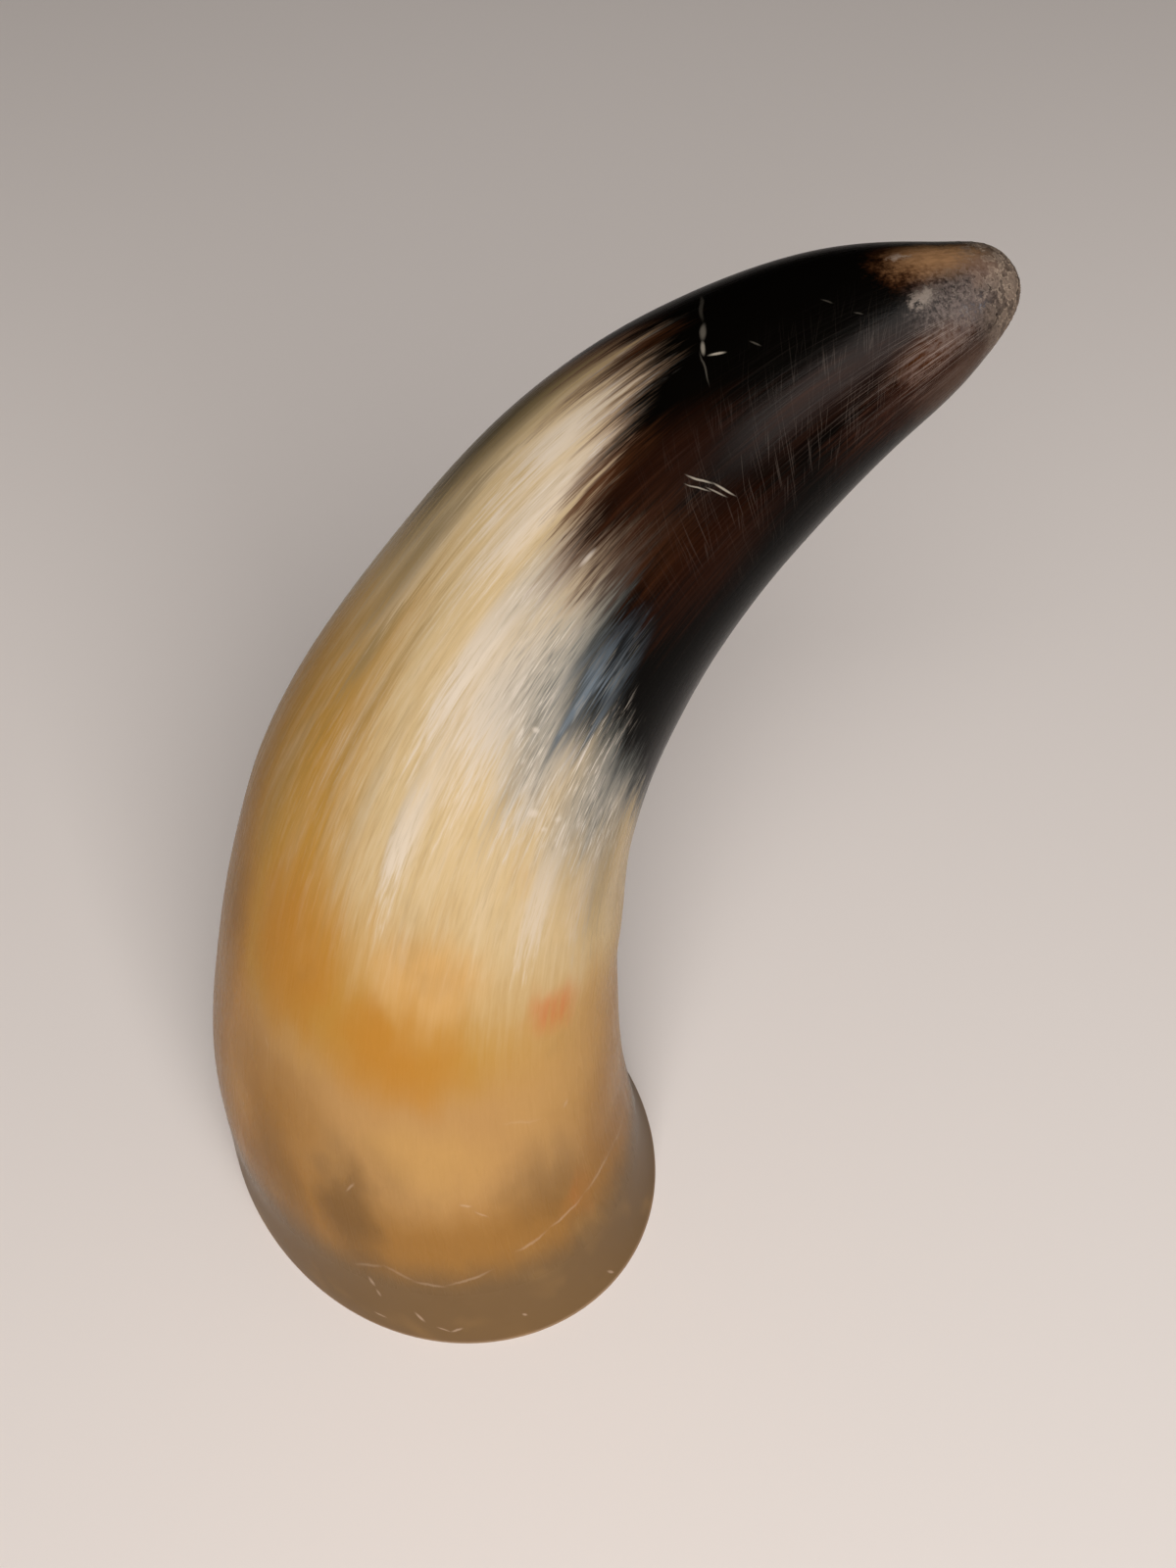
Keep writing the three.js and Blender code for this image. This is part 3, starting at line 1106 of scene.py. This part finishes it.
class HornSettings(bpy.types.PropertyGroup):
    """The sizes and colours of the horn."""

    length: FloatProperty(
        name="Length", description="Along the centre line, from the cut to the tip",
        default=203.5 * MM, unit="LENGTH",
    )
    tip_lean: FloatProperty(
        name="Tip lean", description="Of the centre line at the tip, from upright",
        default=math.radians(95), subtype="ANGLE",
    )
    root_half_width: FloatProperty(
        name="Root half width", description="Half the width across the bend where the root is cut",
        default=41.2 * MM, unit="LENGTH",
    )
    tip_half_width: FloatProperty(
        name="Tip half width", description="The same where the taper would end, were the tip not worn",
        default=8.2 * MM, unit="LENGTH",
    )
    rim_wall: FloatProperty(
        name="Rim wall", description="Thickness of the horn at the cut",
        default=5 * MM, unit="LENGTH",
    )
    hollow_depth: FloatProperty(
        name="Hollow depth", description="Of the hollow that the bone core left, along the centre line",
        default=112 * MM, unit="LENGTH",
    )
    around: IntProperty(
        name="Faces around", description="How many faces go round the horn", default=168,
    )
    foot_colour: FloatVectorProperty(
        name="Foot", description="Grey-brown band next to the cut", subtype="COLOR",
        default=linear("#73593a"),
    )
    brown_colour: FloatVectorProperty(
        name="Brown", description="Just above the foot", subtype="COLOR", default=linear("#966b35"),
    )
    tan_colour: FloatVectorProperty(
        name="Tan", description="The lower body", subtype="COLOR", default=linear("#b18753"),
    )
    gold_colour: FloatVectorProperty(
        name="Gold", description="Below the cream", subtype="COLOR", default=linear("#b0843c"),
    )
    cream_colour: FloatVectorProperty(
        name="Cream", description="The middle", subtype="COLOR", default=linear("#c2a97f"),
    )
    dark_colour: FloatVectorProperty(
        name="Dark", description="The outer half", subtype="COLOR", default=linear("#040302"),
    )


class StudioSettings(bpy.types.PropertyGroup):
    """The studio that the horn is seen in."""

    lens: FloatProperty(
        name="Lens", description="Focal length, on a frame 36 mm long", default=40.5, unit="CAMERA",
    )
    floor_colour: FloatVectorProperty(
        name="Floor", description="The paper's colour", subtype="COLOR", default=linear("#e9e1dc"),
    )
    key_light: FloatProperty(
        name="Key light", description="Radiance of the large soft light", default=7.1,
    )
    sheen_light: FloatProperty(
        name="Sheen light", description="Radiance of the card whose reflection shows", default=10.5,
    )
    room_light: FloatProperty(
        name="Room light", description="Radiance of the light from all round", default=0.09,
    )


class HORN_OT_add_horn(bpy.types.Operator):
    """Build the horn: spun straight, then flattened, turned and bent, with its finish"""

    bl_idname = "horn.add_horn"
    bl_label = "Add the Horn"

    def execute(self, context):
        horn = context.scene.horn_settings
        bm = spun_straight(horn)
        name_surfaces(horn, bm)
        grain = keep_grain(horn, bm)
        bend(horn, bm)
        raise_relief(bm, grain)
        mesh = bpy.data.meshes.new("polished_horn")
        bm.to_mesh(mesh)
        bm.free()
        for material in (polished_keratin(horn), sawn_keratin(), raw_keratin()):
            mesh.materials.append(material)
        piece = bpy.data.objects.new("polished_horn", mesh)
        context.scene.collection.objects.link(piece)
        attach(piece, "root")
        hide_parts("horn")
        return {"FINISHED"}


class HORN_OT_add_stage(bpy.types.Operator):
    """Build the studio: a pale floor, soft lights and the camera"""

    bl_idname = "horn.add_stage"
    bl_label = "Add the Studio"

    def execute(self, context):
        studio = context.scene.studio_settings
        add_floor(studio)
        add_camera(studio)
        key = add_card("key_light", *KEY_PLACE, studio.key_light, KEY_COLOUR)
        key.visible_glossy = False  # it lights without a hard reflection
        sheen = add_card("sheen_card", *SHEEN_PLACE, studio.sheen_light, SHEEN_COLOUR)
        sheen.visible_diffuse = False  # it only shows as a reflection
        world = bpy.data.worlds.new("room")
        world.use_nodes = True
        background = world.node_tree.nodes["Background"]
        background.inputs["Color"].default_value = (*linear(ROOM_COLOUR), 1.0)
        background.inputs["Strength"].default_value = studio.room_light
        world.cycles_visibility.glossy = False
        context.scene.world = world
        context.scene.view_settings.view_transform = "Standard"
        return {"FINISHED"}


class HORN_PT_sidebar(bpy.types.Panel):
    """The horn's sizes and colours, and the steps that build it"""

    bl_label = "Polished Horn"
    bl_space_type = "VIEW_3D"
    bl_region_type = "UI"
    bl_category = "Horn"

    def draw(self, context):
        for settings in (context.scene.horn_settings, context.scene.studio_settings):
            for name in settings.__annotations__:
                self.layout.prop(settings, name)
        for operator in (HORN_OT_add_horn, HORN_OT_add_stage):
            self.layout.operator(operator.bl_idname)


CLASSES = (HornSettings, StudioSettings, HORN_OT_add_horn, HORN_OT_add_stage, HORN_PT_sidebar)


def register():
    """Registers the classes and hangs the settings on the scene."""
    for one in CLASSES:
        bpy.utils.register_class(one)
    bpy.types.Scene.horn_settings = PointerProperty(type=HornSettings)
    bpy.types.Scene.studio_settings = PointerProperty(type=StudioSettings)


def unregister():
    """Takes the settings and the classes away again."""
    del bpy.types.Scene.studio_settings
    del bpy.types.Scene.horn_settings
    for one in reversed(CLASSES):
        bpy.utils.unregister_class(one)


def main():
    """Builds the horn and the studio."""
    register()
    bpy.ops.horn.add_horn()
    bpy.ops.horn.add_stage()


if __name__ == "__main__":
    main()
